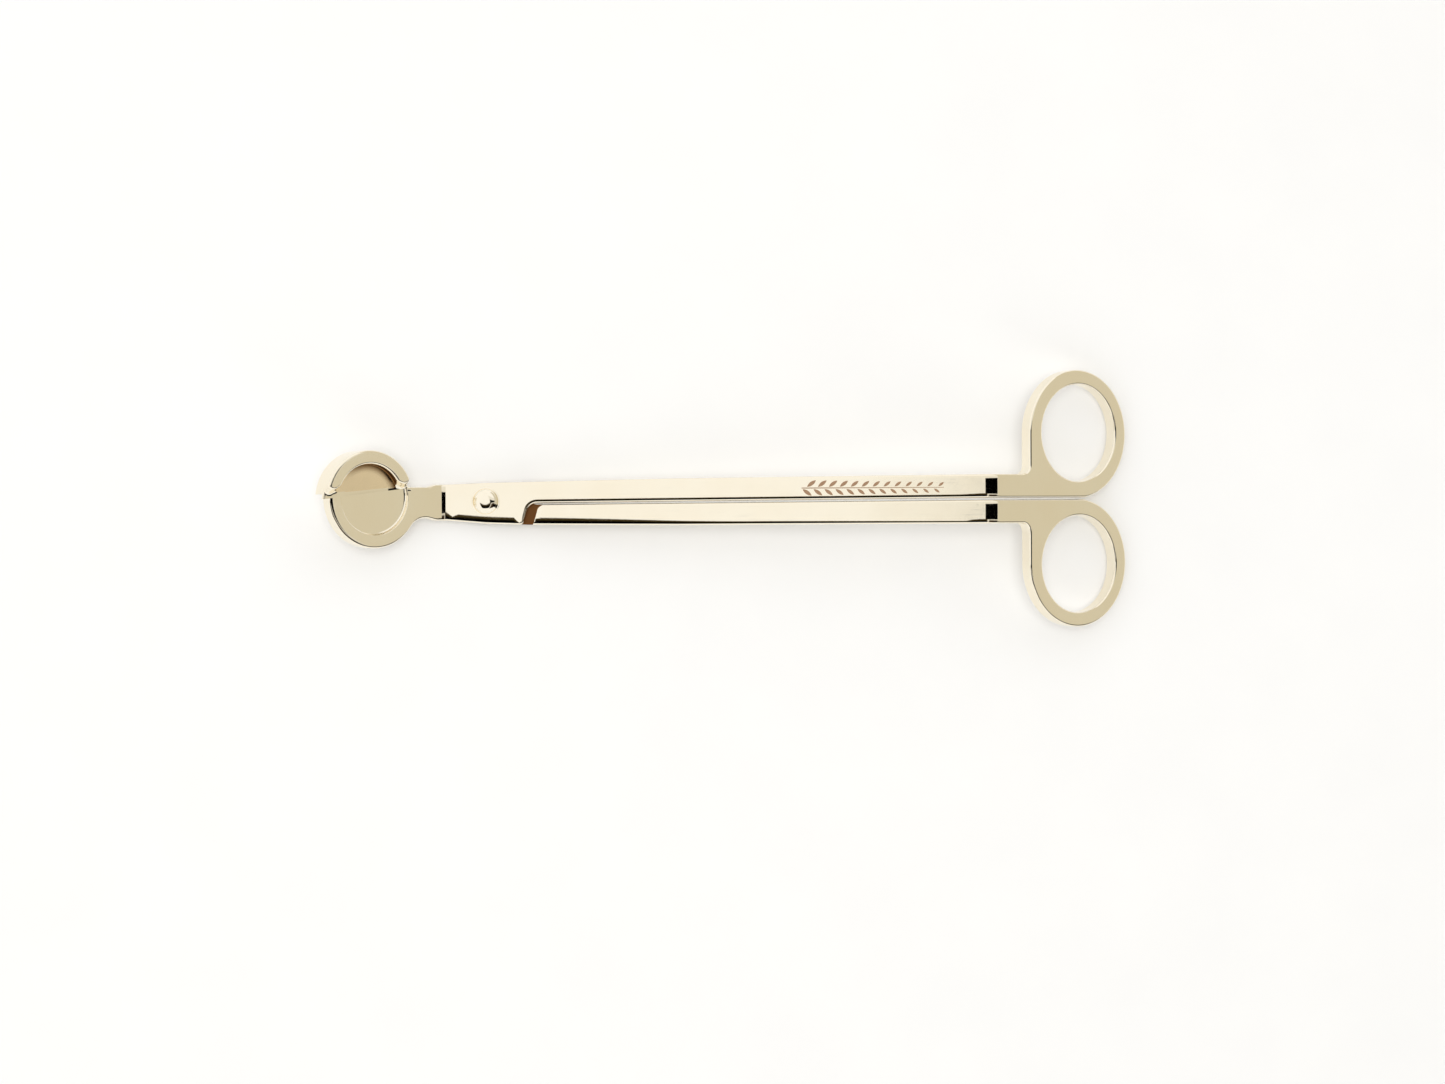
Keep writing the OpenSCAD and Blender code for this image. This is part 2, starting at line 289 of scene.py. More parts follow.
def plate(name, outlines, low, high, crown):
    """Closed plate with rounded edges: its outer outline runs anticlockwise, its holes clockwise."""
    bm = bmesh.new()
    top_rings, bottom_rings = [], []
    for points in outlines:
        offsets = inward(points)
        profiles = [edge_profile(crown(*p)) for p in points]
        levels = len(profiles[0])
        rings = []
        for side, face in ((-1, low), (1, high)):
            order = range(levels - 1, -1, -1) if side < 0 else range(levels)
            for k in order:
                ring = []
                for p, offset, profile in zip(points, offsets, profiles):
                    inset, drop = profile[k]
                    ring.append(bm.verts.new((*(Vector(p) + offset * inset), face - side * drop)))
                rings.append(ring)
        for lower, upper in zip(rings, rings[1:]):
            ring_faces(bm, lower, upper)
        bottom_rings.append(rings[0])
        top_rings.append(rings[-1])
    fill_cap(bm, bottom_rings)
    fill_cap(bm, top_rings)
    return mesh_of(bm, name)


def prism(name, points, levels):
    """Sharp-edged closed prism through (height, inset) levels of one outline."""
    bm = bmesh.new()
    offsets = inward(points)
    rings = []
    for height, inset in levels:
        rings.append([bm.verts.new((*(Vector(p) + o * inset), height)) for p, o in zip(points, offsets)])
    for lower, upper in zip(rings, rings[1:]):
        ring_faces(bm, lower, upper)
    bm.faces.new(rings[0])
    bm.faces.new(rings[-1])
    return mesh_of(bm, name)


def lathe(name, profile, centre=(0, 0), steps=96):
    """Closed solid of revolution around a z axis, from (radius, height) points."""
    bm = bmesh.new()
    rings = []
    for r, z in profile:
        rings.append([bm.verts.new((x, y, z)) for x, y in circle(centre, max(r, 1e-5), steps)])
    for lower, upper in zip(rings, rings[1:]):
        ring_faces(bm, lower, upper)
    if profile[0] == profile[-1]:
        return mesh_of(bm, name)
    bm.faces.new(rings[0])
    bm.faces.new(rings[-1])
    return mesh_of(bm, name)


def boolean(base, tool, operation):
    """Mesh of the base with the tool cut from it or joined to it."""
    objects = [bpy.data.objects.new(m.name, m) for m in (base, tool)]
    for o in objects:
        bpy.context.scene.collection.objects.link(o)
    cut = objects[0].modifiers.new("boolean", "BOOLEAN")
    cut.operation = operation
    cut.solver = "EXACT"
    cut.object = objects[1]
    graph = bpy.context.evaluated_depsgraph_get()
    result = bpy.data.meshes.new_from_object(objects[0].evaluated_get(graph))
    for o in objects:
        bpy.data.objects.remove(o)
    return result


def note_rims(mesh):
    """Marks rounded edges, where the plating wears, by how far their normals lean."""
    rim = mesh.attributes.new("rim", "FLOAT", "POINT")
    for i, vertex in enumerate(mesh.vertices):
        lean = vertex.normal.z ** 2
        rim.data[i].value = 4 * lean * (1 - lean)


def note_gap(mesh):
    """Carries the lap's rougher finish and painted dark brown, here a painted dark reflection, a little way
    along both walls of the gap between the shafts.
    """
    rough_painted_dark = mesh.attributes["rough_painted_dark"]
    reach = 0.6
    for i, face in enumerate(mesh.polygons):
        x, y, z = face.center
        upright = abs(face.normal.z) < 0.6
        if upright and abs(y - TRAY_LOW) < reach and z > 0:
            rough_painted_dark.data[i].value = 0.8 * fade(x, 10.5, 12) * (1 - fade(x, LAP_END, 30))


def note_faces(mesh, label, low, high, wanted=None):
    """Marks the level faces between two heights, and within the wanted radius where one is given."""
    marks = mesh.attributes.new(label, "FLOAT", "FACE")
    for i, face in enumerate(mesh.polygons):
        level = abs(face.normal.z) > 0.999 and low < face.center.z < high
        near = wanted is None or face.center.xy.length < wanted
        marks.data[i].value = float(level and near)


def note_painted_reflection(mesh):
    """Marks a painted dark reflection, in dark golden brown, on the jaw's inner wall and the floor beside
    it, fading to the left.
    """
    painted_reflection = mesh.attributes.new("painted_reflection", "FLOAT", "FACE")
    for i, face in enumerate(mesh.polygons):
        r = face.center.xy.length
        inside = BLADE_TOP - 0.05 < face.center.z < WALL_TOP - 0.35 and r < JAW_HOLLOW_R + 0.05
        turn = math.degrees(math.atan2(face.center.y, face.center.x))
        painted_reflection.data[i].value = inside * fade(r, PAINTED_REFLECTION_RINGS[-1], JAW_HOLLOW_R) * (1 - fade(turn, *PAINTED_REFLECTION_FADE))


def bend_plate(mesh, neck_x, thin=0.0):
    """Rolls the flat plate down over the ring bend and up over the neck bend."""
    bm = bmesh.new()
    bm.from_mesh(mesh)
    starts = [neck_x - NECK_ARC * k / BEND_CUTS for k in range(BEND_CUTS + 1)]
    starts += [RING_X + RING_ARC * k / BEND_CUTS for k in range(BEND_CUTS + 1)]
    for x in starts:
        everything = bm.verts[:] + bm.edges[:] + bm.faces[:]
        bmesh.ops.bisect_plane(bm, geom=everything, dist=1e-5, plane_co=(x, 0, 0), plane_no=(1, 0, 0))
    for v in bm.verts:
        v.co = bent(v.co, neck_x, thin)
    bm.to_mesh(mesh)
    bm.free()
    return mesh


def bent(p, neck_x, thin):
    """Place of one point of the flat plate after bending. The head's underside thins by the given depth."""
    x, y, z = p
    if x > RING_X:
        turn = min((x - RING_X) / RING_ARC, 1) * BEND
        r = RING_BEND_OUTER - HALF_T + z
        rest = max(x - RING_X - RING_ARC, 0)
        return Vector((RING_X + r * math.sin(turn) + rest * math.cos(turn), y,
                       HALF_T - RING_BEND_OUTER + r * math.cos(turn) - rest * math.sin(turn)))
    if x < neck_x:
        turn = min((neck_x - x) / NECK_ARC, 1) * BEND
        z += thin * (turn / BEND) * (HALF_T - z) / PLATE_T
        r = NECK_BEND_R + HALF_T - z
        rest = max(neck_x - x - NECK_ARC, 0)
        return Vector((neck_x - r * math.sin(turn) - rest * math.cos(turn), y,
                       HALF_T + NECK_BEND_R - r * math.cos(turn) + rest * math.sin(turn)))
    return Vector(p)


def in_head(mesh):
    """Turns a mesh drawn in the head plane, with z 0 on the tray's rim, into the tool's frame."""
    turn = Matrix.Rotation(BEND, 4, "Y")
    turn.translation = Vector((-NECK_LEN, 0, HALF_T))
    mesh.transform(turn)
    return mesh


def finish_piece(name, mesh, material, body, node=None):
    """Places a finished mesh on the table, shades it and lets it ride on its body."""
    mesh.transform(Matrix.Diagonal((MM, MM, MM, 1)))
    mesh.transform(LAY)
    mesh.name = name
    mesh.materials.clear()
    mesh.materials.append(material)
    mesh.shade_smooth()
    mesh.set_sharp_from_angle(angle=SHARP_ANGLE)
    piece = bpy.data.objects.new(name, mesh)
    bpy.context.scene.collection.objects.link(piece)
    normals = piece.modifiers.new("weighted normals", "WEIGHTED_NORMAL")
    normals.keep_sharp = True
    normals.weight = 80
    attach(piece, body)
    if node:
        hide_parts(node)
    return piece


# ---------------------------------------------------------------- outlines of the arms

def ring_side(side):
    """Outline of a finger ring in anticlockwise order, from its inner root to its outer root."""
    floor_turn = math.acos((RING_Y - GAP_HALF) / RING_R)
    centre = (RING_START + RING_AT, RING_Y)
    left = RING_START + RING_AT - RING_R
    points = [(RING_X, GAP_HALF)]
    points += arc(centre, RING_R, floor_turn - math.pi / 2, math.pi, 72)
    points += corner((left, RING_Y), (left, SHAFT_EDGE), (RING_X, SHAFT_EDGE), RING_FILLET_R)
    points += [(RING_X, SHAFT_EDGE)]
    if side > 0:
        return points
    return [(x, -y) for x, y in reversed(points)]


def finger_hole(side):
    return circle((RING_START + FINGER_AT, side * FINGER_Y), FINGER_R, 112, -1)


def tray_outline():
    """Tray arm from above, unrolled flat, anticlockwise from its neck's lower edge."""
    start = Vector((HEAD_START, 0))
    centre = start + Vector((TRAY_AT, TRAY_Y))
    reach = TRAY_R + WAIST_R
    drop = TRAY_Y - WAIST_LOW + WAIST_R
    waist = centre + Vector((math.sqrt(reach * reach - drop * drop), -drop))
    waist_turn = angle_of(centre, waist)
    line = start + Vector((JAW_AT, JAW_Y + BLADE_LINE + BLADE_OVERLAP))
    slant = (math.cos(EDGE_ANGLE), math.sin(EDGE_ANGLE))
    tip = crossings(line, slant, centre, TRAY_R)[0]
    line_end = line + Vector((1, math.tan(EDGE_ANGLE))) * ((WAIST_HIGH - line.y) / math.tan(EDGE_ANGLE))
    tip_turn = angle_of(tip, centre) % math.tau
    waist_foot = angle_of(waist, centre) % math.tau
    heel_x, heel_r = LAP_HEEL
    throat_x, throat_r = LAP_THROAT
    corners = [
        (NECK_X, NECK_LOW), (0, LAP_LOW), (heel_x, CUTTER_LOW, heel_r), (throat_x, TRAY_LOW, throat_r),
        *ring_side(1), (MID_SHAFT_X, TRAY_MID), (0, TRAY_HIGH), (NECK_X, NECK_HIGH),
        (HEAD_START - NECK_FLAT, NECK_HIGH, NECK_SOFT_R),
        (HEAD_START - WAIST_FROM, WAIST_HIGH, NECK_SOFT_R), tuple(line_end),
        *arc(centre, TRAY_R, tip_turn, waist_foot, 64),
        *arc(waist, WAIST_R, waist_turn, math.pi / 2, 12)[1:],
        (HEAD_START - WAIST_FROM, WAIST_LOW, NECK_SOFT_R),
        (HEAD_START - NECK_FLAT, NECK_LOW, NECK_SOFT_R)]
    return subdivided(rounded(corners))


def cutter_outline():
    """Cutter arm from above, unrolled flat, anticlockwise from its link's end."""
    heel_x, heel_r = LAP_HEEL
    throat_x, throat_r = LAP_THROAT
    neck = NECK_X - CUTTER_NECK_SHIFT
    link_low, link_high = ([(CUTTER_HEAD_START + x, *rest) for x, *rest in side]
                           for side in (LINK_LOW_SIDE, LINK_HIGH_SIDE))
    corners = [
        *link_low, (neck, link_low[-1][1]), (0, LAP_LOW + LAP_INSET),
        (SHOULDER_FOOT_X, CUTTER_LOW), (MID_SHAFT_X, CUTTER_MID), *ring_side(-1),
        (throat_x, CUTTER_HIGH, throat_r), (heel_x, TRAY_HIGH, heel_r), (0, TRAY_HIGH - LAP_INSET),
        (neck, link_high[0][1]), *link_high]
    return subdivided(rounded(corners))


def bend_crown(x):
    """Width of the polished fall-off at the bends, where it is wider than elsewhere."""
    near_neck = 1 - fade(abs(x - NECK_X + NECK_ARC / 2), *NECK_CROWN_SPAN)
    near_rings = 1 - fade(abs(x - RING_X - RING_ARC / 2), *RING_CROWN_SPAN)
    return CROWN_W + (NECK_CROWN_W - CROWN_W) * near_neck + (BEND_CROWN_W - CROWN_W) * near_rings


def tray_crown(x, y):
    """Width of the polished fall-off along the tray arm's edges, wide on the lower edge by the pivot."""
    heel_x = LAP_HEEL[0]
    lower_edge = -3.5
    if y > lower_edge or not NECK_X < x < heel_x + 2:
        return bend_crown(x)
    from_neck = fade(x, NECK_X, NECK_X + 2.5)
    to_heel = 1 - fade(x, heel_x - 1.9, heel_x - 0.6)
    return max(SOFT_CROWN_W * from_neck * to_heel, bend_crown(x) - CROWN_W)


def cutter_crown(x, y):
    """Width of the polished fall-off along the cutter arm's edges, which narrows along its lower edge."""
    heel_x = LAP_HEEL[0]
    lower_edge = -4.8
    if y > lower_edge or not heel_x <= x <= RING_X - 4:
        return bend_crown(x)
    from_shoulder = fade(x, heel_x, heel_x + 1.5)
    narrowing = 1 - 0.62 * fade(x, 10, 60) - 0.16 * fade(x, 60, RING_X)
    return SOFT_CROWN_W * from_shoulder * narrowing


# ---------------------------------------------------------------- arms

# Reach of the cutting tools beside and beyond the plate
BESIDE = 14
BEYOND = 5


def shank_hole(radius):
    return lathe("shank hole", [(radius, -BEYOND), (radius, BEYOND)])


def tray_hollow():
    """Tool that hollows the tray, with a soft floor corner and a rounded rim."""
    floor = HALF_T - HOLLOW_DEPTH
    corner_r, rim_r, above = 0.5, 0.13, HALF_T + 3
    profile = [(0, floor)]
    for a in turns(6):
        r = HOLLOW_R - corner_r + corner_r * math.sin(a)
        profile.append((r, floor + corner_r * (1 - math.cos(a))))
    for a in turns(5, CUT_TURN):
        profile.append((HOLLOW_R + rim_r * (1 - math.cos(a)), HALF_T - rim_r + rim_r * math.sin(a)))
    profile += [(HOLLOW_R + rim_r, above), (0, above)]
    return lathe("hollow", profile, (HEAD_START + TRAY_AT, TRAY_Y), 128)


def shoulder_curve(side, low):
    """Curve of the shoulder where an arm's full thickness starts, from outside its outer edge inwards."""
    shoulder_x, shoulder_r = SHOULDER
    level = low - side * SHOULDER_BITE
    outside = side * 8
    return corner((LAP_START, outside), (shoulder_x, level), (MID_SHAFT_X, level), shoulder_r)


def make_tray_arm():
    """Tray arm: halved under the lap, pocketed for the cutter arm's neck and link, and hollowed."""
    outlines = [tray_outline(), finger_hole(1)]
    mesh = plate("tray_arm", outlines, -HALF_T, HALF_T, tray_crown)
    # Where the pocket in the underside ends in the head, and where its lower border steps at the waist
    link_end, link_low = HEAD_START - 14.7, -3.9
    waist_x, waist_y = HEAD_START - 8.3, -5.5
    shoulder = shoulder_curve(1, TRAY_LOW)
    pocket = [(link_end, BESIDE), (link_end, link_low), (waist_x + 1, link_low), (waist_x, waist_y),
              (waist_x, -BESIDE), (LAP_END, -BESIDE), (LAP_END, shoulder[-1][1]), *reversed(shoulder),
              (LAP_START, BESIDE)]
    mesh = boolean(mesh, prism("pocket", pocket, [(-BEYOND, 0), (LAP_PLAY, 0)]), "DIFFERENCE")
    mesh = boolean(mesh, tray_hollow(), "DIFFERENCE")
    mesh = boolean(mesh, shank_hole(SHANK_R), "DIFFERENCE")
    note_rims(mesh)
    # Faces of the lap: rougher, and painted dark brown as shade in the lap valley
    note_faces(mesh, "rough_painted_dark", 0, 2 * LAP_PLAY)
    note_gap(mesh)
    return bend_plate(mesh, NECK_X)


def make_cutter_arm():
    """Cutter arm: halved from above the lap to the link, with the jaw joined to it."""
    outlines = [cutter_outline(), finger_hole(-1)]
    mesh = plate("cutter_arm", outlines, -HALF_T, HALF_T, cutter_crown)
    shoulder = shoulder_curve(-1, CUTTER_HIGH)
    past_link = -50
    pocket = [(past_link, -BESIDE), (LAP_START, -BESIDE), *shoulder, (LAP_END, shoulder[-1][1]),
              (LAP_END, BESIDE), (past_link, BESIDE)]
    levels = [(-LAP_PLAY, 0), (HALF_T - EDGE_R, 0)]
    for a in turns(6, CUT_TURN)[1:]:
        levels.append((HALF_T - EDGE_R + EDGE_R * math.sin(a), -EDGE_R * (1 - math.cos(a))))
    levels.append((BEYOND, levels[-1][1]))
    mesh = boolean(mesh, prism("pocket", pocket, levels), "DIFFERENCE")
    mesh = boolean(mesh, shank_hole(SHANK_R + HOLE_PLAY), "DIFFERENCE")
    note_rims(mesh)
    # Faces of the lap: rougher, and painted dark brown as shade in the lap valley
    note_faces(mesh, "rough_painted_dark", -2 * LAP_PLAY, 0)
    note_gap(mesh)
    # The jaw's own marks, its satin face and its painted dark reflection, which are zero on the arm
    mesh.attributes.new("satin", "FLOAT", "FACE")
    mesh.attributes.new("painted_reflection", "FLOAT", "FACE")
    mesh = bend_plate(mesh, NECK_X - CUTTER_NECK_SHIFT, LINK_THIN)
    return boolean(mesh, make_jaw(), "UNION")


def jaw_sections():
    """Distances of the jaw's straight sections from its cutting edge, and where the base starts."""
    slope = [BASE_STEP + SECTION_STEP * (k + 1) for k in range(WALL_SECTIONS)]
    return GRIND_SECTIONS + [BASE_STEP] + slope, len(GRIND_SECTIONS)


def make_jaw():
    """Blade, wall and base of the jaw, in the tool's frame."""
    bm = bmesh.new()
    line = BLADE_LINE * math.cos(EDGE_ANGLE)
    wall_w = JAW_R - JAW_HOLLOW_R

    def place(r, depth, slant, side):
        """Point at radius r on a section that stands the given distance off the cutting edge."""
        left = Vector((-JAW_R, line + depth * (1 + slant)))
        right = Vector((JAW_R, line + depth * (1 - slant)))
        return crossings(left, right - left, (0, 0), r)[0 if side < 0 else 1]

    def heights(point, side):
        """Heights of the blade and of the wall over it at one point."""
        depth = point.y - line
        grind_w = GRIND_W - GRIND_TAPER * (point.x + JAW_R)
        low_edge = BLADE_LOW + BLADE_EDGE_T
        floor = low_edge + (BLADE_TOP - low_edge) * min(max(depth, 0) / grind_w, 1)
        middle = (point.length - (JAW_R + JAW_HOLLOW_R) / 2) / (wall_w / 2)
        start = (WALL_START_LEFT if side < 0 else WALL_START_RIGHT) + WALL_BOW * middle * middle
        return floor, floor + (WALL_TOP - BLADE_TOP) * fade(depth, start, start + WALL_RUN)

    def column(locate, side, has_base):
        """Vertices from the outer underside over the wall to the blade's face inside it."""
        low = -PLATE_T if has_base else BLADE_LOW
        low_r = JAW_LOW_R if has_base else 0
        verts = []
        # Largest shares of a side's height that its roundings take, where the wall is low
        edge_share, inner_share, foot_share = 0.7, 0.6, 0.3

        def put(r, height):
            """Adds the vertex at one radius, with its height from the blade's and the wall's there."""
            q = locate(r)
            verts.append(bm.verts.new((*q, height(*heights(q, side)))))

        for a in turns(3):
            put(JAW_R - low_r * (1 - math.sin(a)), lambda floor, top: low + low_r * (1 - math.cos(a)))
        put(JAW_R, lambda floor, top: BLADE_LOW)
        outer_r = min(JAW_EDGE_R, edge_share * (heights(locate(JAW_R), side)[1] - BLADE_LOW))
        for a in turns(6):
            put(JAW_R - outer_r * (1 - math.cos(a)), lambda floor, top: top - outer_r * (1 - math.sin(a)))
        for k in range(1, 6):
            put(JAW_R - JAW_EDGE_R - (wall_w - 2 * JAW_EDGE_R) * k / 6, lambda floor, top: top)
        floor, top = heights(locate(JAW_HOLLOW_R), side)
        inner_r = min(JAW_EDGE_R, inner_share * (top - floor))
        for a in turns(6):
            inner = JAW_HOLLOW_R + inner_r * (1 - math.sin(a))
            put(inner, lambda floor, top: top - inner_r * (1 - math.cos(a)))
        foot_r = min(JAW_FOOT_R, foot_share * (top - floor))
        for a in turns(4):
            inner = JAW_HOLLOW_R - foot_r * (1 - math.cos(a))
            put(inner, lambda floor, top: floor + foot_r * (1 - math.sin(a)))
        for r in PAINTED_REFLECTION_RINGS:
            put(r, lambda floor, top: floor)
        return verts

    depths, base_row = jaw_sections()
    last = len(depths) - 1
    sides = {}
    for side in (-1, 1):
        rows = []
        for k, depth in enumerate(depths):
            slant = SECTION_SLANT * (1 - depth / depths[-1])
            rows.append(column(lambda r: place(r, depth, slant, side), side, k >= base_row))
        sides[side] = rows

    def fan(r, f):
        """Point at radius r, a fraction f of the way round the jaw from its right end to its left."""
        a = angle_of(place(r, depths[-1], 0, 1), (0, 0))
        b = angle_of(place(r, depths[-1], 0, -1), (0, 0))
        turn = a + (b - a) * f
        return Vector((r * math.cos(turn), r * math.sin(turn)))

    around = [column(lambda r: fan(r, i / JAW_FAN), 0, True) for i in range(1, JAW_FAN)]
    rows = sides[1] + around + sides[-1][::-1]
    for a, b in zip(rows, rows[1:]):
        for j in range(len(a) - 1):
            bm.faces.new((a[j], a[j + 1], b[j + 1], b[j]))
    for k in range(last):
        left, right = sides[-1][k], sides[1][k]
        left_next, right_next = sides[-1][k + 1], sides[1][k + 1]
        bm.faces.new((left[-1], left_next[-1], right_next[-1], right[-1]))
        bm.faces.new((left[0], right[0], right_next[0], left_next[0]))
    middle = [sides[1][last]] + around + [sides[-1][last]]
    bm.faces.new([row[-1] for row in middle])
    bm.faces.new([row[0] for row in middle])
    bm.faces.new(sides[-1][0] + sides[1][0][::-1])
    mesh = mesh_of(bm, "jaw")
    note_rims(mesh)
    note_faces(mesh, "satin", BLADE_TOP - 0.01, BLADE_TOP + 0.01, JAW_HOLLOW_R)
    note_painted_reflection(mesh)
    turn = Matrix.Rotation(EDGE_ANGLE, 4, "Z")
    turn.translation = Vector((JAW_AT, JAW_Y, 0))
    mesh.transform(turn)
    return in_head(mesh)


def make_rivet():
    """Domed rivet with a thin rim under its head and a peened tail."""
    tail = [(TAIL_R * math.sin(a), WASHER_LOW - TAIL_H * math.cos(a)) for a in turns(10)]
    shank = [(SHANK_R, WASHER_LOW), (SHANK_R, HALF_T)]
    rim_top = HALF_T + RIM_H
    soft, gap = 0.05, 0.04
    rim = [(RIM_R, HALF_T), (RIM_R, rim_top - soft), (RIM_R - soft, rim_top), (DOME_R + gap, rim_top)]
    dome = []
    dome_steps = 28
    for k in range(dome_steps + 1):
        t = 1 - k / dome_steps
        dome.append((DOME_R * t, rim_top + DOME_H * (1 - t ** 4)))
    mesh = lathe("pivot_rivet", tail + shank + rim + dome)
    note_rims(mesh)
    return mesh


def make_washer():
    """Flat washer with softened edges."""
    soft = 0.08
    low, high = WASHER_LOW, WASHER_LOW + WASHER_T
    inner = SHANK_R + 0.02
    profile = [(inner, low), (WASHER_R - soft, low), (WASHER_R, low + soft), (WASHER_R, high - soft),
               (WASHER_R - soft, high), (inner, high), (inner, low)]
    mesh = lathe("rivet_washer", profile)
    note_rims(mesh)
    return mesh


# ---------------------------------------------------------------- etched sprig

def leaf(length, width, steps=8):
    """Outline of a pointed leaf that grows along x from the origin."""
    upper = []
    for k in range(steps + 1):
        upper.append((length * k / steps, width / 2 * math.sin(math.pi * k / steps) ** 0.8))
    return upper[:-1] + [(x, -y) for x, y in upper[:0:-1]]


def make_sprig():
    """Laurel sprig etched on the tray arm's shaft: a stem and two rows of leaves that shrink to its tip."""
    first, last, middle = 71.0, 103.0, 2.62
    proud, deep, pairs, lean = 0.012, 0.03, 13, math.radians(36)
    leaf_length, leaf_width, leaf_off = 2.5, 0.85, 0.26
    thick, thin = 0.12, 0.06
    taper, stagger = 0.4, 0.2
    bm = bmesh.new()

    def stamp(outline, place, turn):
        """Adds one thin closed mark with this outline."""
        ring_low, ring_high = [], []
        for x, y in reversed(outline):
            q = Vector(place) + Matrix.Rotation(turn, 2) @ Vector((x, y))
            ring_low.append(bm.verts.new((*q, HALF_T - deep)))
            ring_high.append(bm.verts.new((*q, HALF_T + proud)))
        ring_faces(bm, ring_low, ring_high)
        bm.faces.new(ring_low)
        bm.faces.new(ring_high)

    pitch = (last - first) / pairs
    stem = [(0, thick), (last - first, thin), (last - first, -thin), (0, -thick)]
    stamp(stem[::-1], (first, middle), 0)
    for k in range(pairs):
        size = 1 - taper * k / pairs
        for side in (-1, 1):
            x = first + pitch * (k + 0.3 + stagger * side)
            stamp(leaf(leaf_length * size, leaf_width * size), (x, middle + side * leaf_off), side * lean)
    return mesh_of(bm, "etched_sprig")


# ---------------------------------------------------------------- materials

def add(tree, kind, values=(), **settings):
    """Shader node with its settings, and its sockets set to values or linked to other sockets."""
    made = tree.nodes.new("ShaderNode" + kind)
    for key, value in settings.items():
        setattr(made, key, value)
    for key, value in dict(values).items():
        if isinstance(value, bpy.types.NodeSocket):
            tree.links.new(value, made.inputs[key])
        else:
            made.inputs[key].default_value = value
    return made


def new_material(name):
    material = bpy.data.materials.new(name)
    material.use_nodes = True
    tree = material.node_tree
    tree.nodes.clear()
    place = add(tree, "TexCoord").outputs["Object"]
    return material, tree, place


def noise(tree, place, scale, detail=3.0):
    values = {"Vector": place, "Scale": scale, "Detail": detail, "Roughness": 0.5}
    return add(tree, "TexNoise", values).outputs["Fac"]


def remap(tree, value, low, high, to_low, to_high):
    values = {"Value": value, "From Min": low, "From Max": high, "To Min": to_low, "To Max": to_high}
    return add(tree, "MapRange", values).outputs["Result"]


def plating(name, light, deep, worn, polish, waviness):
    """Polished plating: soft tone clouds, wear on rounded edges, hairlines and a slight orange peel.

    Satin faces are duller; other marked faces are painted dark brown as reflection and shade, the lap's
    also rougher.
    """
    material, tree, place = new_material(name)
    rim = add(tree, "Attribute", attribute_name="rim").outputs["Fac"]
    clouds = remap(tree, noise(tree, place, 90), 0.35, 0.65, 0, 1)
    tone = add(tree, "Mix", {"Factor": clouds, "A": light, "B": deep}, data_type="RGBA").outputs["Result"]
    speckle = remap(tree, noise(tree, place, 2600, 4), 0.45, 0.75, 0, 0.8)
    wear = add(tree, "Math", {0: rim, 1: speckle}, operation="MULTIPLY").outputs["Value"]
    colour = add(tree, "Mix", {"Factor": wear, "A": tone, "B": worn}, data_type="RGBA").outputs["Result"]
    hair_place = add(tree, "Mapping", {"Vector": place, "Scale": (60, 2400, 900)}).outputs["Vector"]
    hair = remap(tree, noise(tree, hair_place, 1, 2), 0.58, 0.72, 0, 0.035)
    smudge = remap(tree, noise(tree, place, 260, 2), 0.3, 0.7, polish, polish * 1.7)
    rough = add(tree, "Math", {0: smudge, 1: hair}, operation="ADD").outputs["Value"]
    satin = add(tree, "Attribute", attribute_name="satin").outputs["Fac"]
    # Lap and gap faces: rougher, and further down painted dark brown as shade in the lap valley and dark
    # reflection along the gap
    rough_painted_dark = add(tree, "Attribute", attribute_name="rough_painted_dark").outputs["Fac"]
    rough = add(tree, "Math", {0: satin, 1: 0.14, 2: rough}, operation="MULTIPLY_ADD").outputs["Value"]
    rough = add(tree, "Math", {0: rough_painted_dark, 1: 0.25, 2: rough}, operation="MULTIPLY_ADD").outputs["Value"]
    values = {"Factor": satin, "A": colour, "B": (1.0, 0.84, 0.60, 1)}
    colour = add(tree, "Mix", values, data_type="RGBA").outputs["Result"]
    # Painted dark reflection in dark golden brown on the jaw's inner wall and floor
    painted_reflection = add(tree, "Attribute", attribute_name="painted_reflection").outputs["Fac"]
    values = {"Factor": painted_reflection, "A": colour, "B": (0.20, 0.10, 0.03, 1)}
    colour = add(tree, "Mix", values, data_type="RGBA").outputs["Result"]
    # Painted shade in the lap valley and painted dark reflection along the gap, in dark brown
    values = {"Factor": rough_painted_dark, "A": colour, "B": (0.20, 0.085, 0.028, 1)}
    colour = add(tree, "Mix", values, data_type="RGBA").outputs["Result"]
    peel = noise(tree, place, 1500, 3)
    relief = add(tree, "Bump", {"Strength": 1.0, "Distance": waviness, "Height": peel}).outputs["Normal"]
    shader = add(tree, "BsdfPrincipled", {"Base Color": colour, "Metallic": 1.0, "Roughness": rough,
                                          "Normal": relief})
    add(tree, "OutputMaterial", {"Surface": shader.outputs[0]})
    return material


def etching(name):
    """Brown etched marks, matt and slightly uneven."""
    material, tree, place = new_material(name)
    grain = remap(tree, noise(tree, place, 3000, 4), 0.3, 0.7, 0, 1)
    values = {"Factor": grain, "A": (0.30, 0.175, 0.095, 1), "B": (0.38, 0.235, 0.14, 1)}
    colour = add(tree, "Mix", values, data_type="RGBA").outputs["Result"]
    rough = remap(tree, grain, 0, 1, 0.45, 0.65)
    relief = add(tree, "Bump", {"Strength": 1.0, "Distance": 4e-6, "Height": grain}).outputs["Normal"]
    shader = add(tree, "BsdfPrincipled", {"Base Color": colour, "Roughness": rough, "Normal": relief})
    add(tree, "OutputMaterial", {"Surface": shader.outputs[0]})
    return material


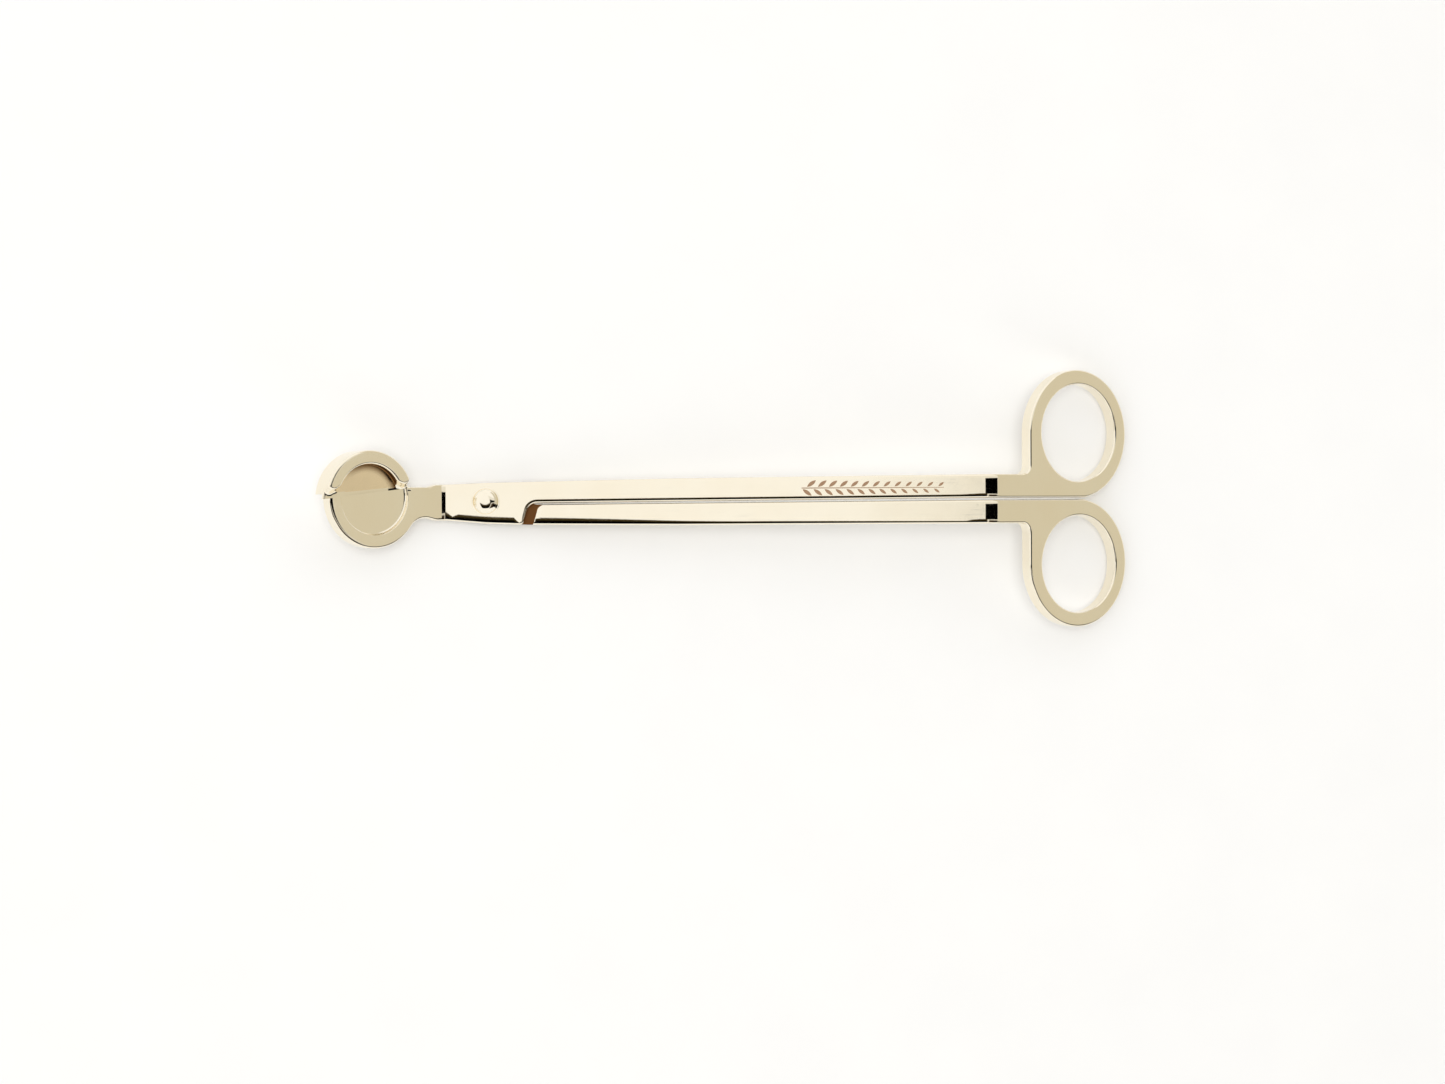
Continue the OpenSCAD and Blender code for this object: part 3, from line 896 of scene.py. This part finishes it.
def table_top(name):
    """Plain pale matt table."""
    material, tree, place = new_material(name)
    grain = noise(tree, place, 40, 4)
    values = {"Factor": grain, "A": (0.9, 0.9, 0.9, 1), "B": (0.94, 0.94, 0.935, 1)}
    colour = add(tree, "Mix", values, data_type="RGBA").outputs["Result"]
    relief = add(tree, "Bump", {"Strength": 0.1, "Distance": 1e-4, "Height": grain}).outputs["Normal"]
    shader = add(tree, "BsdfPrincipled", {"Base Color": colour, "Roughness": 0.9, "Normal": relief})
    shader.inputs["Specular IOR Level"].default_value = 0.0
    add(tree, "OutputMaterial", {"Surface": shader.outputs[0]})
    return material


# ---------------------------------------------------------------- stage

def build_studio():
    """Studio surroundings for the reflections: a white tent, a beige end wall and dark flags and stands.

    Directions are angles from the shafts' face normal: along towards the rings, and across to +y.
    The camera itself sees plain white.
    """
    world = bpy.data.worlds.new("studio")
    bpy.context.scene.world = world
    world.use_nodes = True
    tree = world.node_tree
    tree.nodes.clear()
    ray = add(tree, "TexCoord").outputs["Generated"]
    axes = LAY.to_3x3()
    dots = []
    for k in range(3):
        axis = tuple(axes.col[k])
        dots.append(add(tree, "VectorMath", {0: ray, 1: axis}, operation="DOT_PRODUCT").outputs["Value"])
    along = add(tree, "Math", {0: dots[0], 1: dots[2]}, operation="ARCTAN2").outputs["Value"]
    across = add(tree, "Math", {0: dots[1]}, operation="ARCSINE").outputs["Value"]

    def window(value, low, high, soft):
        """1 between two angles in degrees, with soft ends."""
        low, high, soft = (math.radians(v) for v in (low, high, soft))
        rise = add(tree, "MapRange", {"Value": value, "From Min": low - soft, "From Max": low + soft},
                   interpolation_type="SMOOTHSTEP").outputs["Result"]
        fall = add(tree, "MapRange", {"Value": value, "From Min": high + soft, "From Max": high - soft},
                   interpolation_type="SMOOTHSTEP").outputs["Result"]
        return add(tree, "Math", {0: rise, 1: fall}, operation="MULTIPLY").outputs["Value"]

    def card(colour, tone, along_range, across_range, soft):
        """Lays a rectangular card of one tone over the surroundings."""
        sides = {0: window(along, *along_range, soft), 1: window(across, *across_range, soft)}
        mask = add(tree, "Math", sides, operation="MULTIPLY").outputs["Value"]
        values = {"Factor": mask, "A": colour, "B": tone}
        return add(tree, "Mix", values, data_type="RGBA").outputs["Result"]

    black = (0.0, 0.0, 0.0, 1)
    colour = (1.05, 1.04, 1.02, 1)
    colour = card(colour, (0.88, 0.86, 0.80, 1), (4.5, 61), (-30, 20), 2.5)
    colour = card(colour, (0.70, 0.65, 0.52, 1), (61, 94), (-16, 62), 2)
    colour = card(colour, (0.05, 0.03, 0.015, 1), (20, 60), (-38, -8), 3)
    colour = card(colour, black, (42, 95), (-34, -15), 2)
    colour = card(colour, black, (6.3, 60), (-5, 5), 0.6)
    colour = card(colour, (0.055, 0.04, 0.016, 1), (-18, 14), (-28, -3.2), 1.0)
    colour = card(colour, black, (-18, 14), (-28, -9), 2.5)
    seen = add(tree, "LightPath").outputs["Is Camera Ray"]
    shown = add(tree, "Mix", {"Factor": seen, "A": colour, "B": (1, 1, 1, 1)}, data_type="RGBA")
    background = add(tree, "Background", {"Color": shown.outputs["Result"], "Strength": 1.0})
    add(tree, "OutputWorld", {"Surface": background.outputs[0]})


def build_floor():
    """Table top, a hair below the tool."""
    half_width = 3.0
    bm = bmesh.new()
    bmesh.ops.create_grid(bm, x_segments=8, y_segments=8, size=half_width)
    mesh = mesh_of(bm, "table")
    mesh.materials.append(table_top("pale_table"))
    table = bpy.data.objects.new("table", mesh)
    table.location.z = -0.02 * MM
    bpy.context.scene.collection.objects.link(table)


def build_light():
    """Large soft light overhead."""
    light = bpy.data.lights.new("overhead", "AREA")
    light.shape = "DISK"
    light.size = 0.5
    light.energy = 4.8
    lamp = bpy.data.objects.new("overhead", light)
    lamp.matrix_world = LAY @ Matrix.Translation((0.05, 0.04, 1.2))
    lamp.visible_glossy = False
    bpy.context.scene.collection.objects.link(lamp)


def build_camera():
    """Camera above the closed tool, square to its shafts."""
    camera = bpy.data.cameras.new("camera")
    camera.lens = 74.74
    camera.clip_start = 0.01
    place = Vector((48.7, -1.4, 675.8)) * MM
    turn = (Matrix.Rotation(math.radians(0.32), 3, "Z") @ Matrix.Rotation(math.radians(0.38), 3, "Y")
            @ Matrix.Rotation(math.radians(0.68), 3, "X"))
    pose = turn.transposed().to_4x4()
    pose.translation = place
    holder = bpy.data.objects.new("camera", camera)
    holder.matrix_world = LAY @ pose
    bpy.context.scene.collection.objects.link(holder)
    bpy.context.scene.camera = holder
    bpy.context.scene.view_settings.view_transform = "Standard"


# ---------------------------------------------------------------- build

worn_gold = (0.95, 0.90, 0.79, 1)
gold = plating("pale_gold_plating", light=(0.93, 0.865, 0.72, 1), deep=(0.92, 0.845, 0.69, 1),
               worn=worn_gold, polish=0.045, waviness=2.6e-6)
rivet_gold = plating("rivet_plating", light=(0.94, 0.875, 0.74, 1), deep=(0.93, 0.855, 0.70, 1),
                     worn=worn_gold, polish=0.05, waviness=8e-7)
brass = plating("washer_metal", light=(0.80, 0.71, 0.54, 1), deep=(0.76, 0.66, 0.48, 1),
                worn=(0.86, 0.79, 0.64, 1), polish=0.22, waviness=2e-6)
brown = etching("etched_brown")

finish_piece("tray_arm_plate", make_tray_arm(), gold, "tray_side", "tray_arm")
finish_piece("cutter_arm_plate", make_cutter_arm(), gold, "cutter_side", "cutter_arm")
finish_piece("domed_rivet", make_rivet(), rivet_gold, "tray_side", "pivot_rivet")
finish_piece("flat_washer", make_washer(), brass, "tray_side", "rivet_washer")
finish_piece("etched_sprig", make_sprig(), brown, "tray_side")
build_floor()
build_light()
build_camera()
build_studio()
